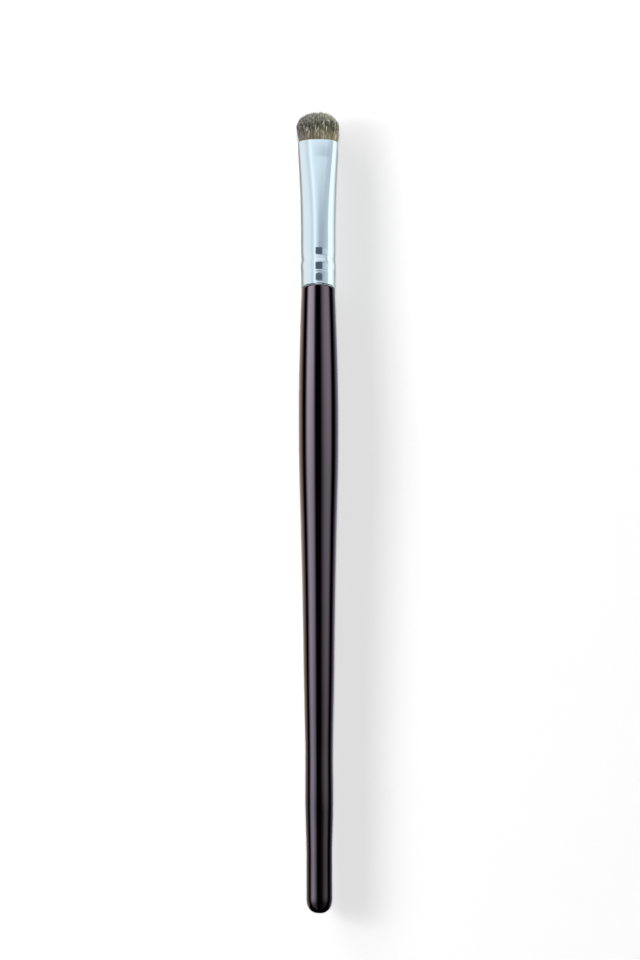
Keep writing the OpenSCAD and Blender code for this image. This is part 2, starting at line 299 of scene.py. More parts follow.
class Effects:
    """Shader node groups that several finishes share, each built once."""

    def __init__(self) -> None:
        """Builds the groups."""
        self.fibres = self._fibres()
        self.handling = self._handling()

    @staticmethod
    def _start(
        name: str, inputs: Sequence[tuple[str, str, object]], outputs: Sequence[tuple[str, str]]
    ) -> tuple[bpy.types.NodeTree, Nodes, bpy.types.Node, bpy.types.Node]:
        """Starts a group and makes its sockets.

        Args:
            name: Name of the group.
            inputs: Name, socket type and value of each input.
            outputs: Name and socket type of each output.

        Returns:
            The group, the tool for its nodes, and its input and output nodes.
        """
        group = bpy.data.node_groups.new(name, "ShaderNodeTree")
        for title, kind, value in inputs:
            socket = group.interface.new_socket(name=title, in_out="INPUT", socket_type=kind)
            if value is not None:
                socket.default_value = value
        for title, kind in outputs:
            group.interface.new_socket(name=title, in_out="OUTPUT", socket_type=kind)
        nodes = Nodes(group)
        return group, nodes, nodes.add("NodeGroupInput"), nodes.add("NodeGroupOutput")

    def _fibres(self) -> bpy.types.NodeTree:
        """Builds the streaks of grain or hair that run along the brush.

        Returns:
            The group.
        """
        group, nodes, start, end = self._start(
            "lengthwise_fibres",
            [("Vector", "NodeSocketVector", None), ("Across", "NodeSocketFloat", 6000.0),
             ("Along", "NodeSocketFloat", 200.0)],
            [("Mask", "NodeSocketFloat"), ("Fine", "NodeSocketFloat")],
        )
        scale = nodes.add(
            "ShaderNodeCombineXYZ", X=start.outputs["Across"], Y=start.outputs["Along"],
            Z=start.outputs["Across"],
        )
        stretched = nodes.add(
            "ShaderNodeVectorMath", operation="MULTIPLY", _0=start.outputs["Vector"],
            _1=scale.outputs["Vector"],
        )
        broad = nodes.add(
            "ShaderNodeTexNoise", Vector=stretched.outputs["Vector"], Scale=1.0, Detail=3.0,
            Roughness=0.6,
        )
        fine = nodes.add(
            "ShaderNodeTexNoise", Vector=stretched.outputs["Vector"], Scale=3.1, Detail=2.0,
            Roughness=0.5,
        )
        nodes.tree.links.new(broad.outputs["Fac"], end.inputs["Mask"])
        nodes.tree.links.new(fine.outputs["Fac"], end.inputs["Fine"])
        return group

    def _handling(self) -> bpy.types.NodeTree:
        """Builds the faint smudges and dust that handling leaves on a polished surface.

        Returns:
            The group.
        """
        group, nodes, start, end = self._start(
            "handling_marks",
            [("Vector", "NodeSocketVector", None), ("Smudge Scale", "NodeSocketFloat", 160.0),
             ("Dust Scale", "NodeSocketFloat", 2600.0)],
            [("Smudge", "NodeSocketFloat"), ("Dust", "NodeSocketFloat")],
        )
        smudge = nodes.add(
            "ShaderNodeTexNoise", Vector=start.outputs["Vector"], Scale=start.outputs["Smudge Scale"],
            Detail=4.0, Roughness=0.55, Distortion=0.4,
        )
        specks_and_glints = nodes.add(
            "ShaderNodeTexVoronoi", Vector=start.outputs["Vector"], Scale=start.outputs["Dust Scale"],
        )
        speck = nodes.add(
            "ShaderNodeMapRange", Value=specks_and_glints.outputs["Distance"], From_Min=0.05, From_Max=0.12,
            To_Min=1.0, To_Max=0.0,
        )
        nodes.tree.links.new(smudge.outputs["Fac"], end.inputs["Smudge"])
        nodes.tree.links.new(speck.outputs["Result"], end.inputs["Dust"])
        return group

    def streaks(
        self, nodes: Nodes, place: bpy.types.NodeSocket, scale: tuple[float, float]
    ) -> bpy.types.Node:
        """Puts streaks along the brush into a material.

        Args:
            nodes: Tool of the material's node tree.
            place: Object coordinates.
            scale: Scale of the streaks across and along the brush.

        Returns:
            The group's node.
        """
        return nodes.add(
            "ShaderNodeGroup", node_tree=self.fibres, Vector=place, Across=scale[0], Along=scale[1]
        )

    def marks(
        self, nodes: Nodes, place: bpy.types.NodeSocket, smudge: float = 160.0, dust: float = 2600.0
    ) -> bpy.types.Node:
        """Puts the marks of handling into a material.

        Args:
            nodes: Tool of the material's node tree.
            place: Object coordinates.
            smudge: Scale of the smudges.
            dust: Scale of the dust.

        Returns:
            The group's node.
        """
        return nodes.add(
            "ShaderNodeGroup", node_tree=self.handling, Vector=place, Smudge_Scale=smudge, Dust_Scale=dust
        )


class Surface:
    """One material: its node tool and its shader."""

    def __init__(self, name: str, **values: object) -> None:
        """Starts a material.

        Args:
            name: Name of the material.
            values: Constants of the shader, with underscores for spaces.
        """
        self.material = bpy.data.materials.new(name)
        self.material.use_nodes = True
        self.nodes = Nodes(self.material.node_tree)
        self.shader = self.material.node_tree.nodes["Principled BSDF"]
        for title, value in values.items():
            self.shader.inputs[title.replace("_", " ")].default_value = value

    def feed(self, **links: bpy.types.NodeSocket) -> bpy.types.Material:
        """Finishes the material.

        Args:
            links: Outputs to link to the shader's inputs, with underscores for spaces.

        Returns:
            The material.
        """
        for title, socket in links.items():
            self.nodes.tree.links.new(socket, self.shader.inputs[title.replace("_", " ")])
        return self.material


# Finishes.


@dataclass(frozen=True)
class Lacquer:
    """Black gloss lacquer with a plum tint over fine grained wood."""

    dark: Colour = (0.0002, 0.0001, 0.0002)
    tint: Colour = (0.0014, 0.0005, 0.0009)
    tint_span: tuple[float, float] = (0.35, 0.75)
    dust: Colour = (0.5, 0.48, 0.5)
    dust_share: float = 0.02
    ior: float = 1.46
    roughness: tuple[float, float] = (0.045, 0.075)
    grain: tuple[float, float] = (2400.0, 60.0)
    relief: Relief = Relief(0.12, 0.000004)

    def build(self, effects: Effects) -> bpy.types.Material:
        """Builds the material.

        Args:
            effects: Shared effects.

        Returns:
            The material.
        """
        surface = Surface("gloss_lacquer", IOR=self.ior)
        nodes = surface.nodes
        place = nodes.place()
        grain = effects.streaks(nodes, place, self.grain)
        marks = effects.marks(nodes, place)
        low, high = self.tint_span
        body = nodes.ramp(grain.outputs["Mask"], (low, self.dark), (high, self.tint))
        dusty = nodes.span(marks.outputs["Dust"], 0.0, self.dust_share)
        return surface.feed(
            Base_Color=nodes.blend(dusty, body, self.dust),
            Roughness=nodes.span(marks.outputs["Smudge"], *self.roughness),
            Normal=nodes.bump(grain.outputs["Mask"], self.relief),
        )


@dataclass(frozen=True)
class BareWood:
    """Pale close grained wood on the tenon, where the lacquer stops."""

    light: Colour = (0.62, 0.43, 0.25)
    dark: Colour = (0.40, 0.24, 0.12)
    span: tuple[float, float] = (0.35, 0.65)
    ior: float = 1.45
    roughness: tuple[float, float] = (0.55, 0.8)
    grain: tuple[float, float] = (1800.0, 90.0)
    relief: Relief = Relief(0.3, 0.00004)

    def build(self, effects: Effects) -> bpy.types.Material:
        """Builds the material.

        Args:
            effects: Shared effects.

        Returns:
            The material.
        """
        surface = Surface("tenon_wood", IOR=self.ior)
        nodes = surface.nodes
        grain = effects.streaks(nodes, nodes.place(), self.grain)
        low, high = self.span
        return surface.feed(
            Base_Color=nodes.ramp(grain.outputs["Mask"], (low, self.dark), (high, self.light)),
            Roughness=nodes.span(grain.outputs["Fine"], *self.roughness),
            Normal=nodes.bump(grain.outputs["Mask"], self.relief),
        )


@dataclass(frozen=True)
class PlatedMetal:
    """Polished plated tube with faint hoop lines from polishing."""

    bright: Colour = (0.735, 0.890, 0.985)
    dull: Colour = (0.70, 0.845, 0.94)
    dust: Colour = (0.5, 0.52, 0.54)
    dust_share: float = 0.06
    roughness: tuple[float, float] = (0.05, 0.10)
    smudge: float = 240.0
    hoops: tuple[float, float, float] = (120, 9000, 120)
    hoop_roughness: tuple[float, float] = (-0.015, 0.02)
    relief: Relief = Relief(0.05, 0.000004)

    def build(self, effects: Effects) -> bpy.types.Material:
        """Builds the material.

        Args:
            effects: Shared effects.

        Returns:
            The material.
        """
        surface = Surface("polished_plate", Metallic=1.0)
        nodes = surface.nodes
        place = nodes.place()
        marks = effects.marks(nodes, place, smudge=self.smudge)
        stretched = nodes.scaled(place, self.hoops)
        hoops = nodes.add("ShaderNodeTexNoise", Vector=stretched, Scale=1.0, Detail=2.0)
        worn = nodes.blend(marks.outputs["Smudge"], self.bright, self.dull)
        rough = nodes.add(
            "ShaderNodeMath", operation="ADD", _0=nodes.span(marks.outputs["Smudge"], *self.roughness),
            _1=nodes.span(hoops.outputs["Fac"], *self.hoop_roughness),
        )
        dusty = nodes.span(marks.outputs["Dust"], 0.0, self.dust_share)
        return surface.feed(
            Base_Color=nodes.blend(dusty, worn, self.dust),
            Roughness=rough.outputs["Value"],
            Normal=nodes.bump(hoops.outputs["Fac"], self.relief),
        )


@dataclass(frozen=True)
class MixedHair:
    """Dark and cream animal hair, warmer at the ferrule and paler at the tips.

    The attribute "strand" holds the tone of each strand, its height from root to tip,
    and a random number, in red, green and blue.
    """

    dark: Colour = (0.008, 0.007, 0.005)
    olive: Colour = (0.035, 0.033, 0.022)
    grey: Colour = (0.106, 0.103, 0.078)
    cream: Colour = (0.36, 0.35, 0.292)
    root: Colour = (0.115, 0.087, 0.056)
    tones: tuple[float, ...] = (0.0, 0.42, 0.7, 1.0)
    swing: float = 4.3
    streaks: tuple[float, float] = (4000.0, 750.0)
    streak_span: tuple[float, float] = (0.1, 0.9)
    # Flecks near the top: partly the hairs' own mixed tones, partly painted glints of lit hair ends.
    specks_and_glints: tuple[float, float] = (3600.0, 2400.0)
    speck_and_glint_span: tuple[float, float] = (-1.6, 2.2)
    glints_from: float = 0.0824
    glints_to: float = 0.0864
    tip_from: float = 0.86
    tip_luck: tuple[float, float] = (-2.4, 1.1)
    root_shares: Stops = ((0.06, 0.9), (0.12, 0.62), (0.42, 0.34), (0.66, 0.0))
    # Heights over which the painted shade at the ferrule's mouth gives way to the root colour.
    root_shade: tuple[float, float] = (0.06, 0.13)
    ior: float = 1.5
    sheen: float = 0.15
    sheen_roughness: float = 0.4
    roughness: tuple[float, float] = (0.38, 0.62)

    def banded(self, nodes: Nodes, effects: Effects, tone: bpy.types.NodeSocket) -> bpy.types.NodeSocket:
        """Adds pale and dark bands to the tone of each strand: long streaks, and near the top pale flecks
        that are partly the hairs' mixed tones and partly painted glints of lit hair ends.

        Args:
            nodes: Tool of the material's node tree.
            effects: Shared effects.
            tone: Tone of the strand.

        Returns:
            The tone with its bands.
        """
        place = nodes.place()
        streaks = effects.streaks(nodes, place, self.streaks)
        specks_and_glints = effects.streaks(nodes, place, self.specks_and_glints)
        up = nodes.add("ShaderNodeSeparateXYZ", Vector=place)
        near_top = nodes.add(
            "ShaderNodeMapRange", Value=up.outputs["Y"], From_Min=self.glints_from, From_Max=self.glints_to
        )
        masks = nodes.blend(
            near_top.outputs["Result"], nodes.span(streaks.outputs["Mask"], *self.streak_span),
            nodes.span(specks_and_glints.outputs["Mask"], *self.speck_and_glint_span),
        )
        swing = nodes.add(
            "ShaderNodeMath", operation="MULTIPLY_ADD", _0=masks, _1=self.swing, _2=-self.swing / 2
        )
        mixed = nodes.add("ShaderNodeMath", operation="ADD", _0=tone, _1=swing.outputs["Value"])
        return mixed.outputs["Value"]

    def build(self, effects: Effects) -> bpy.types.Material:
        """Builds the material.

        Args:
            effects: Shared effects.

        Returns:
            The material.
        """
        surface = Surface(
            "mixed_hair", IOR=self.ior, Sheen_Weight=self.sheen, Sheen_Roughness=self.sheen_roughness
        )
        nodes = surface.nodes
        strand = nodes.add("ShaderNodeAttribute", attribute_name="strand")
        parts = nodes.add("ShaderNodeSeparateColor", Color=strand.outputs["Color"])
        tone, height, luck = parts.outputs["Red"], parts.outputs["Green"], parts.outputs["Blue"]
        tone_colours = (self.dark, self.olive, self.grey, self.cream)
        hair = nodes.ramp(self.banded(nodes, effects, tone), *zip(self.tones, tone_colours))
        tipping = nodes.ramp(height, (self.tip_from, BLACK), (1.0, WHITE))
        lucky = nodes.span(luck, *self.tip_luck)
        some = nodes.add("ShaderNodeMath", operation="MULTIPLY", _0=tipping, _1=lucky)
        tipped = nodes.blend(some.outputs["Value"], hair, self.cream)
        # The lowest part of each strand, in the ferrule's mouth, is painted shade in the dark tone; above it
        # the warm root colour fades into the hair.
        shaded, lit = self.root_shade
        rooted = nodes.blend(
            nodes.ramp(height, *((at, (share,) * 3) for at, share in self.root_shares)),
            tipped, nodes.ramp(height, (shaded, self.dark), (lit, self.root)),
        )
        return surface.feed(Base_Color=rooted, Roughness=nodes.span(luck, *self.roughness))


@dataclass(frozen=True)
class HairCore:
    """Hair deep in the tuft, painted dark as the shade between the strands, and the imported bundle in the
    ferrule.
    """

    deep: Colour = (0.012, 0.011, 0.008)
    lit: Colour = (0.07, 0.065, 0.05)
    span: tuple[float, float] = (0.38, 0.68)
    ior: float = 1.45
    roughness: tuple[float, float] = (0.5, 0.8)
    streaks: tuple[float, float] = (8000.0, 260.0)
    relief: Relief = Relief(0.8, 0.00006)

    def build(self, effects: Effects) -> bpy.types.Material:
        """Builds the material.

        Args:
            effects: Shared effects.

        Returns:
            The material.
        """
        surface = Surface("hair_core", IOR=self.ior)
        nodes = surface.nodes
        fibre = effects.streaks(nodes, nodes.place(), self.streaks)
        low, high = self.span
        return surface.feed(
            Base_Color=nodes.ramp(fibre.outputs["Mask"], (low, self.deep), (high, self.lit)),
            Roughness=nodes.span(fibre.outputs["Fine"], *self.roughness),
            Normal=nodes.bump(fibre.outputs["Mask"], self.relief),
        )


@dataclass(frozen=True)
class CastResin:
    """Amber resin with small bubbles."""

    clear: Colour = (0.58, 0.37, 0.12)
    cloudy: Colour = (0.74, 0.58, 0.33)
    ior: float = 1.5
    roughness: tuple[float, float] = (0.12, 0.3)
    cloud: float = 420.0
    bubble: float = 1500.0
    relief: Relief = Relief(0.4, 0.00005)

    def build(self, effects: Effects) -> bpy.types.Material:
        """Builds the material.

        Args:
            effects: Shared effects.

        Returns:
            The material.
        """
        surface = Surface("cast_resin", IOR=self.ior)
        nodes = surface.nodes
        marks = effects.marks(nodes, nodes.place(), smudge=self.cloud, dust=self.bubble)
        return surface.feed(
            Base_Color=nodes.blend(marks.outputs["Smudge"], self.clear, self.cloudy),
            Roughness=nodes.span(marks.outputs["Smudge"], *self.roughness),
            Normal=nodes.bump(marks.outputs["Dust"], self.relief),
        )


@dataclass(frozen=True)
class SetGlue:
    """Yellowish glue film, smeared when the handle was pushed in."""

    thin: Colour = (0.78, 0.66, 0.40)
    thick: Colour = (0.60, 0.45, 0.20)
    ior: float = 1.48
    roughness: tuple[float, float] = (0.3, 0.5)
    smear: tuple[float, float, float] = (1, 0.3, 1)
    patches: float = 700.0
    relief: Relief = Relief(0.4, 0.00004)

    def build(self, effects: Effects) -> bpy.types.Material:
        """Builds the material.

        Args:
            effects: Shared effects.

        Returns:
            The material.
        """
        surface = Surface("set_glue", IOR=self.ior)
        nodes = surface.nodes
        marks = effects.marks(nodes, nodes.scaled(nodes.place(), self.smear), smudge=self.patches)
        return surface.feed(
            Base_Color=nodes.blend(marks.outputs["Smudge"], self.thin, self.thick),
            Roughness=nodes.span(marks.outputs["Smudge"], *self.roughness),
            Normal=nodes.bump(marks.outputs["Smudge"], self.relief),
        )


@dataclass(frozen=True)
class TwistedThread:
    """Undyed cotton thread with its twist."""

    pale: Colour = (0.80, 0.75, 0.64)
    # Colour of the twist's grooves: painted shade.
    shade: Colour = (0.52, 0.46, 0.36)
    span: tuple[float, float] = (0.1, 0.5)
    roughness: float = 0.8
    sheen: float = 0.3
    twist: float = 1800.0
    fibres: tuple[float, float] = (7000.0, 4000.0)
    relief: Relief = Relief(0.7, 0.00003)

    def build(self, effects: Effects) -> bpy.types.Material:
        """Builds the material.

        Args:
            effects: Shared effects.

        Returns:
            The material.
        """
        surface = Surface("twisted_thread", Roughness=self.roughness, Sheen_Weight=self.sheen)
        nodes = surface.nodes
        place = nodes.place()
        twist = nodes.add(
            "ShaderNodeTexWave", Vector=place, Scale=self.twist, Distortion=2.0, Detail=2.0,
            wave_type="BANDS", bands_direction="DIAGONAL",
        )
        fibre = effects.streaks(nodes, place, self.fibres)
        mixed = nodes.add(
            "ShaderNodeMath", operation="MULTIPLY", _0=twist.outputs["Fac"], _1=fibre.outputs["Mask"]
        ).outputs["Value"]
        # The darker twist bands are painted shade in the grooves between the plies.
        low, high = self.span
        return surface.feed(
            Base_Color=nodes.ramp(mixed, (low, self.shade), (high, self.pale)),
            Normal=nodes.bump(mixed, self.relief),
        )


@dataclass(frozen=True)
class PaperSweep:
    """Matt white paper that the brush lies on."""

    white: Colour = (0.56, 0.56, 0.56)
    shade: Colour = (0.55, 0.55, 0.55)
    roughness: float = 0.9
    tooth: float = 900.0

    def build(self) -> bpy.types.Material:
        """Builds the material.

        Returns:
            The material.
        """
        surface = Surface("white_paper", Roughness=self.roughness, Specular_IOR_Level=0.0)
        nodes = surface.nodes
        tooth = nodes.add("ShaderNodeTexNoise", Vector=nodes.place(), Scale=self.tooth, Detail=3.0)
        return surface.feed(Base_Color=nodes.blend(tooth.outputs["Fac"], self.white, self.shade))


# Pieces.


@dataclass(frozen=True)
class Crimps:
    """Ripples of the crimped skirt: a rolled edge, two crimps and the bead between them."""

    lower: float = 0.0034
    pitch: float = 0.00335
    depth: float = 0.00011
    bead: float = 0.00008
    edge_length: float = 0.0003
    edge_dip: float = 0.00014
    roll: float = 0.4
    skirt: Stops = ((0.22, 0.55), (0.78, 0.3), (1.0, 0.5))
    run_out: Stops = ((0.52, 0.09), (1.03, 0.0))
    lines: tuple[float, ...] = (0.0031, 0.00625)
    line_half_width: float = 0.00013
    line_height: float = 0.000025
    line_clearance: float = 1.2

    def stations(self) -> Outline:
        """Lists the turning points of the ripples.

        Returns:
            Height above the skirt's edge and distance from the plain barrel at each station.
        """
        upper = self.lower + self.pitch
        return [
            (0.0, -self.edge_dip),
            (self.edge_length, -self.depth * self.roll),
            *((self.lower * at, -self.depth * dip) for at, dip in self.skirt),
            (self.lower + self.pitch / 2, self.bead),
            (upper, -self.depth),
            *((upper + self.pitch * at, -self.depth * dip) for at, dip in self.run_out),
        ]

    def offset(self, height: float) -> float:
        """Follows the ripples smoothly from station to station.

        Args:
            height: Height above the skirt's edge.

        Returns:
            How far the metal stands off the plain barrel.
        """
        p = self.stations()
        steps = ((b[1] - a[1]) * smooth((height - a[0]) / (b[0] - a[0])) for a, b in zip(p, p[1:]))
        return p[0][1] + sum(steps)

    def line(self, height: float) -> float:
        """Returns how far the fine lines that the rolls leave stand off the metal at a height."""
        nearness = (limited(1 - abs(height - at) / self.line_half_width) for at in self.lines)
        return self.line_height * sum(nearness)

    def heights(self, steps: int) -> list[float]:
        """Returns heights over all ripples and fine lines, in order.

        Args:
            steps: Steps from station to station.

        Returns:
            The heights.
        """
        p = self.stations()
        inner = [mix(a[0], b[0], k / steps) for a, b in zip(p, p[1:]) for k in range(steps)]
        fine = [at + self.line_half_width * k / 2 for at in self.lines for k in range(-2, 3)]
        clear = self.line_half_width * self.line_clearance
        kept = [f for f in inner if all(abs(f - at) > clear for at in self.lines)]
        return sorted(kept + fine + [p[-1][0]])


@dataclass(frozen=True)
class TurnedHandle:
    """Turned wood with a rounded tail, a slim shank, a belly and a tenon in the ferrule."""

    length: float = 0.1336
    tail_radius: float = 0.00262
    tail_straight: float = 0.0077
    tail_round: float = 0.0032
    tail_power: float = 2.45
    shank_radius: float = 0.00286
    belly_radius: float = 0.004235
    top_radius: float = 0.003625
    tenon_radius: float = 0.003215
    tenon_length: float = 0.0082
    tenon_chamfer: float = 0.0005
    shank_from: float = 0.165
    shank_to: float = 0.25
    belly_at: float = 0.793
    swell: Stops = ((0.2, 0.21), (0.42, 0.395), (0.63, 0.64), (0.84, 0.94))
    fall: Stops = ((0.3, 0.13), (0.56, 0.38), (0.8, 0.7))
    shoulder: Stops = ((0.0, 0.00026), (0.00006, 0.00015), (0.00026, 0.0))
    shoulder_clearance: float = 1.2
    seam: float = 0.00001
    tail_steps: int = 28
    straight_steps: int = 6
    tenon_steps: int = 60
    steps_round: int = 144
    crimps: Crimps = Crimps()

    def stations(self) -> Outline:
        """Lists the measured places of the handle, from the tail to the ferrule.

        Returns:
            Height and radius at each station.
        """
        shank, belly = self.length * self.shank_to, self.length * self.belly_at
        rising = [
            (mix(shank, belly, at), mix(self.shank_radius, self.belly_radius, gain))
            for at, gain in self.swell
        ]
        falling = [
            (mix(belly, self.length, at), mix(self.belly_radius, self.top_radius, loss))
            for at, loss in self.fall
        ]
        return [
            (self.tail_round + self.tail_straight, self.tail_radius),
            (self.length * self.shank_from, self.shank_radius),
            (shank, self.shank_radius),
            *rising,
            (belly, self.belly_radius),
            *falling,
            (self.length, self.top_radius),
        ]

    def flowing(self, steps: int = 16) -> Outline:
        """Draws the smooth curve through the stations.

        Args:
            steps: Steps between two stations.

        Returns:
            Radius and height of each point.
        """
        p = self.stations()
        last = len(p) - 1
        lean = [0.0] + [
            (p[min(i + 1, last)][1] - p[i - 1][1]) / (p[min(i + 1, last)][0] - p[i - 1][0])
            for i in range(1, last + 1)
        ]
        points = []
        for i in range(last):
            reach = p[i + 1][0] - p[i][0]
            for k in range(steps):
                t = k / steps
                radius = (
                    (2 * t**3 - 3 * t**2 + 1) * p[i][1] + (t**3 - 2 * t**2 + t) * reach * lean[i]
                    + (3 * t**2 - 2 * t**3) * p[i + 1][1] + (t**3 - t**2) * reach * lean[i + 1]
                )
                points.append((radius, mix(p[i][0], p[i + 1][0], t)))
        return points + [(p[last][1], p[last][0])]

    def outline(self) -> tuple[Outline, float]:
        """Draws the handle from the middle of its tail to the middle of its tenon.

        Returns:
            The whole outline, and the height above which the wood is bare.
        """
        angles = (QUARTER_TURN * (1 - k / self.tail_steps) for k in range(self.tail_steps))
        ends = (oval(self.tail_radius, self.tail_round, self.tail_power, angle) for angle in angles)
        tail = [(across, self.tail_round - along) for across, along in ends]
        straight = [
            (self.tail_radius, self.tail_round + self.tail_straight * k / self.straight_steps)
            for k in range(self.straight_steps)
        ]
        last = self.length - self.shoulder[0][1] * self.shoulder_clearance
        body = [point for point in self.flowing() if point[1] < last]
        body += [(self.top_radius - inwards, self.length - down) for inwards, down in self.shoulder]
        reach = self.tenon_length - self.tenon_chamfer
        heights = (reach * k / self.tenon_steps for k in range(self.tenon_steps + 1))
        tenon = [(self.tenon_radius + self.crimps.offset(f), self.length + self.seam + f) for f in heights]
        top = self.length + self.tenon_length
        end = [(tenon[-1][0] - self.tenon_chamfer, top), (0.0, top)]
        return tail + straight + body + tenon + end, self.length + self.seam / 2

    def build(self, lacquer: bpy.types.Material, bare: bpy.types.Material) -> bpy.types.Object:
        """Turns the handle.

        Args:
            lacquer: Finish of the outside.
            bare: Finish of the tenon.

        Returns:
            The handle.
        """
        outline, bare_from = self.outline()
        bm = spun(outline, self.steps_round)
        for face in bm.faces:
            face.material_index = int(face.calc_center_median().z > bare_from)
        soften(bm)
        return LIE.place("turned_handle", bm, lacquer, bare)


@dataclass(frozen=True)
class PressedFerrule:
    """Drawn tube, crimped on the handle and pressed from round to an oval mouth."""

    start: float = 0.13362
    length: float = 0.0338
    barrel_radius: float = 0.003735
    wall: float = 0.0003
    round_length: float = 0.0122
    mouth_half_width: float = 0.004475
    mouth_half_thickness: float = 0.003
    land: float = 0.004
    nose: float = 0.00014
    nose_start: float = 0.4
    lip: float = 0.0001
    corner_share: float = 1 / 3
    flare_power: float = 1.9
    mouth_power: float = 2.45
    ripple_steps: int = 12
    barrel_steps: int = 60
    land_steps: int = 24
    lip_steps: int = 5
    steps_round: int = 160
    crimps: Crimps = Crimps()

    def press(self, height: float) -> float:
        """Returns how far the tube is pressed flat at a height above the skirt's edge."""
        reach = self.length - self.land - self.round_length
        return 1 - math.cos(QUARTER_TURN * limited((height - self.round_length) / reach))

    def drawn_in(self, height: float) -> float:
        """Returns how far the faces draw in over the land, from 0 at the crease to 1 at the lip."""
        u = limited((height - self.length + self.land) / self.land)
        return u * mix(self.nose_start, 1.0, u * u)

    def flare(self, height: float) -> float:
        """Returns how far the tube is widened at a height above the skirt's edge."""
        return limited((height - self.round_length) / (self.length - self.round_length)) ** self.flare_power

    def section(self, height: float) -> tuple[float, float, float]:
        """Measures the pressed tube.

        Args:
            height: Height above the skirt's edge.

        Returns:
            Half width, half thickness and oval power.
        """
        press = self.press(height)
        pressed = mix(self.barrel_radius, self.mouth_half_thickness + self.nose, press)
        return (
            mix(self.barrel_radius, self.mouth_half_width, self.flare(height)),
            pressed - self.nose * self.drawn_in(height),
            mix(2.0, self.mouth_power, press),
        )

    def outline(self) -> Outline:
        """Draws the tube's wall, before it is pressed.

        Returns:
            Radius and height of each point round the wall.
        """
        heights = self.crimps.heights(self.ripple_steps)
        corner = self.lip * self.corner_share
        heights[0] = corner
        crease, top = self.length - self.land, self.length - self.lip
        last = heights[-1]
        heights += [mix(last, crease, (k + 1) / self.barrel_steps) for k in range(self.barrel_steps)]
        heights += [mix(crease, top, (k + 1) / self.land_steps) for k in range(self.land_steps)]
        outside = [(self.barrel_radius + self.crimps.offset(f) + self.crimps.line(f), f) for f in heights]
        angles = [QUARTER_TURN * k / self.lip_steps for k in range(self.lip_steps + 1)]
        rim = [
            (self.barrel_radius - self.lip * (1 - math.cos(a)), top + self.lip * math.sin(a))
            for a in angles[1:]
        ]
        rim += [
            (self.barrel_radius - self.wall + self.lip * (1 - math.sin(a)), top + self.lip * math.cos(a))
            for a in angles
        ]
        inside = [(r - self.wall, f) for r, f in reversed(outside)]
        edge = [(outside[0][0] - self.wall, 0.0), (outside[0][0] - corner, 0.0)]
        return outside + rim + inside[1:] + edge

    def build(self, plate: bpy.types.Material) -> bpy.types.Object:
        """Turns the tube, presses it and finishes its lip.

        Args:
            plate: Finish of the metal.

        Returns:
            The ferrule.
        """
        bm = spun(self.outline(), self.steps_round, closed=True)
        for vert in bm.verts:
            x, y, height = vert.co
            if height > self.round_length:
                inset = self.barrel_radius - math.hypot(x, y)
                width, thickness, power = self.section(height)
                vert.co.x, vert.co.y = oval(width - inset, thickness - inset, power, math.atan2(y, x))
        bmesh.ops.translate(bm, vec=(0, 0, self.start), verts=bm.verts[:])
        soften(bm)
        return LIE.place("pressed_ferrule", bm, plate)


@dataclass(frozen=True)
class BindingThread:
    """Thread wound round the butt of the hair."""

    inner_radius: float = 0.002595
    thickness: float = 0.00034
    start: float = 0.14552
    turns: int = 5
    pitch: float = 0.00033
    sides: int = 10
    steps_a_turn: int = 40
    sharp_above: float = 50.0

    def build(self, thread: bpy.types.Material) -> bpy.types.Object:
        """Winds the thread.

        Args:
            thread: Finish of the thread.

        Returns:
            The winding.
        """
        bm = bmesh.new()
        ring = bmesh.ops.create_circle(bm, cap_ends=False, radius=self.thickness / 2, segments=self.sides)
        stand = Matrix.Translation(
            (self.inner_radius + self.thickness / 2, 0, self.start + self.thickness / 2)
        ) @ Matrix.Rotation(QUARTER_TURN, 4, "X")
        bmesh.ops.transform(bm, matrix=stand, verts=ring["verts"])
        steps = self.turns * self.steps_a_turn
        bmesh.ops.spin(
            bm, geom=bm.verts[:] + bm.edges[:], cent=(0, 0, 0), axis=(0, 0, 1),
            dvec=(0, 0, self.turns * self.pitch / steps), angle=math.tau * self.turns, steps=steps,
            use_merge=False, use_duplicate=False,
        )
        open_edges = [edge for edge in bm.edges if edge.is_boundary]
        bmesh.ops.holes_fill(bm, edges=open_edges, sides=0)
        bmesh.ops.recalc_face_normals(bm, faces=bm.faces[:])
        soften(bm, self.sharp_above)
        return LIE.place("thread_winding", bm, thread)


WISP_SHIFT = Vector((5, 1, 2))
TONE_SHIFT = Vector((0, 0, 7))


@dataclass(frozen=True)
class Strand:
    """One strand of hair.

    The share is how far it stands from the middle of the bundle, from 0 to 1 at the rim, and
    the angle its direction from there. The tone runs from dark to pale, and the luck is a
    random number. The tip ends at the top, carried sideways by the wander.
    """

    share: float
    angle: float
    tone: float
    luck: float
    top: float
    wander: Vector
    radius: float


